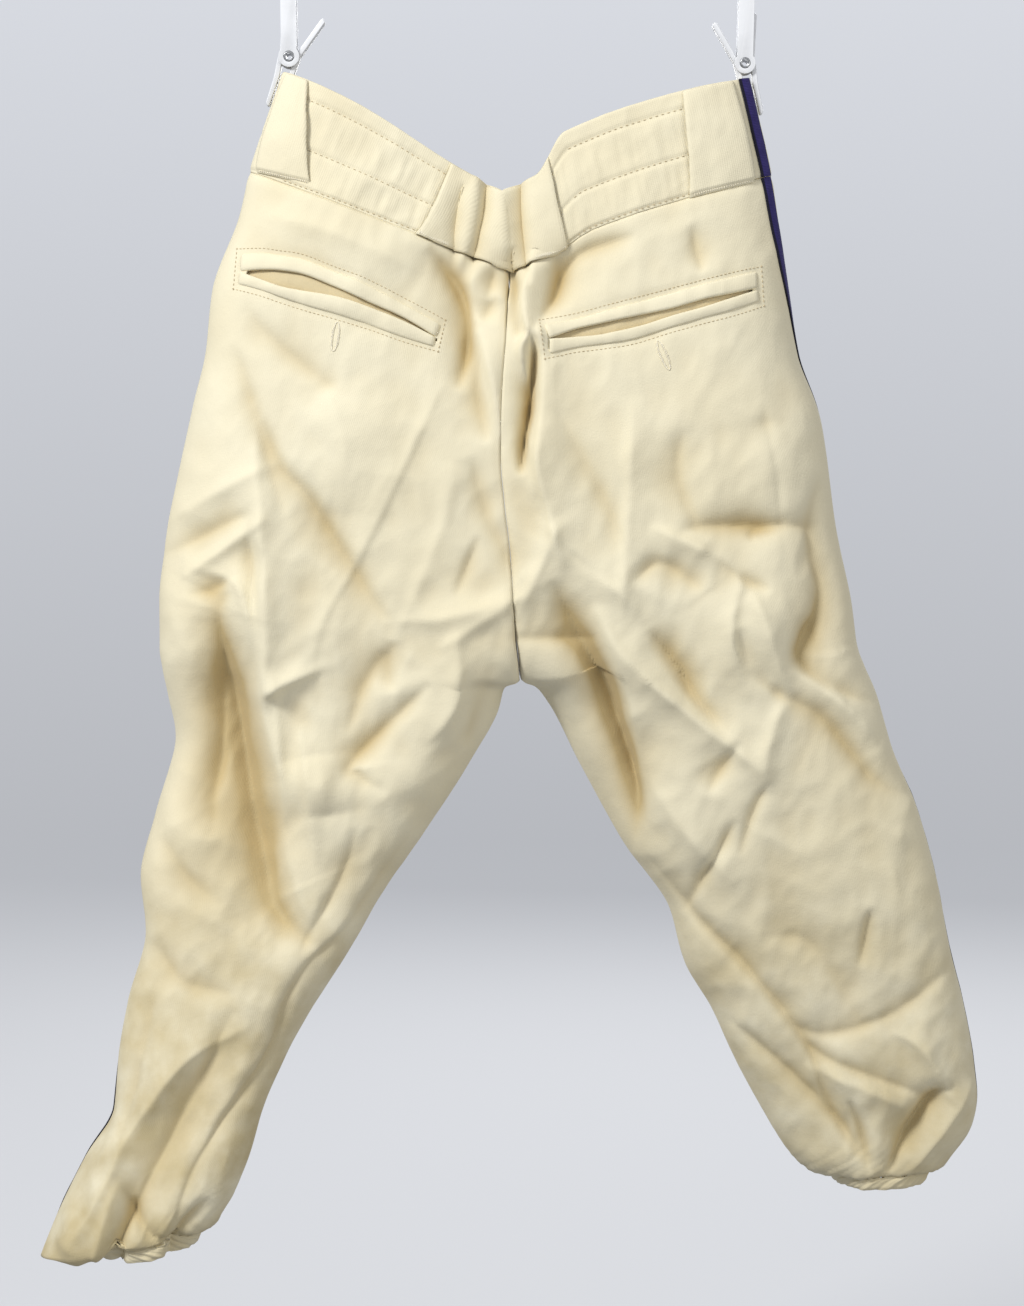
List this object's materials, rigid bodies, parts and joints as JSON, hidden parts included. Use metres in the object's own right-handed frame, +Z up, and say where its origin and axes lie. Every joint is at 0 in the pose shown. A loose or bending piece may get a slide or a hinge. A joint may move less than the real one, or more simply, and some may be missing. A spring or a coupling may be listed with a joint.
{
  "type": "baseball pants on a clip hanger",
  "caption": "Knee-length cream baseball pants with elastic hems, welt back pockets and navy side braid, hung by the waistband from two spring pegs on a clip hanger.",
  "frame": {"origin": "where the inside of the hanger's hook bears on its rail, above the middle of the bar", "axes": "+Z up; +X towards the wearer's right; -Y towards the viewer of the seat, so the fly faces +Y"},
  "size_m": [0.6708, 0.1625, 0.9914],
  "materials": {
    "cloth": "soft matt double-knit polyester with a fine rib",
    "waistband": "matt double-knit over elastic, quilted with rows of stitching",
    "braid": "flat knitted braid with darker edges",
    "button": "moulded shirt button",
    "clip_plastic": "moulded white plastic",
    "steel": "bright drawn wire"
  },
  "bodies": {
    "root": {"back_left_calf": "cloth", "back_left_seat": "cloth", "back_left_thigh": "cloth", "back_right_calf": "cloth", "back_right_seat": "cloth", "back_right_thigh": "cloth", "belt_loop_back_left": "waistband", "belt_loop_back_right": "waistband", "belt_loop_front_left": "waistband", "belt_loop_front_right": "waistband", "belt_tunnel_centre": "waistband", "braid_band_left": "braid", "braid_band_right": "braid", "braid_leg_left": "braid", "braid_leg_right": "braid", "fly_front": "cloth", "front_left_calf": "cloth", "front_left_seat": "cloth", "front_left_thigh": "cloth", "front_right_calf": "cloth", "front_right_seat": "cloth", "front_right_thigh": "cloth", "hanger_bar": "clip_plastic", "hanger_hook": "steel", "hem_left": "cloth", "hem_right": "cloth", "peg_left_arm_inner": "clip_plastic", "peg_left_arm_outer": "clip_plastic", "peg_left_bail": "clip_plastic", "peg_left_spring": "steel", "peg_right_arm_inner": "clip_plastic", "peg_right_arm_outer": "clip_plastic", "peg_right_bail": "clip_plastic", "peg_right_spring": "steel", "pocket_left_button": "button", "pocket_left_facing": "cloth", "pocket_left_welt_lower": "cloth", "pocket_left_welt_upper": "cloth", "pocket_right_button": "button", "pocket_right_facing": "cloth", "pocket_right_welt_lower": "cloth", "pocket_right_welt_upper": "cloth", "waistband_back_left": "waistband", "waistband_back_right": "waistband", "waistband_front_left": "waistband", "waistband_front_right": "waistband", "waistband_tab": "waistband"}
  },
  "joints": []
}
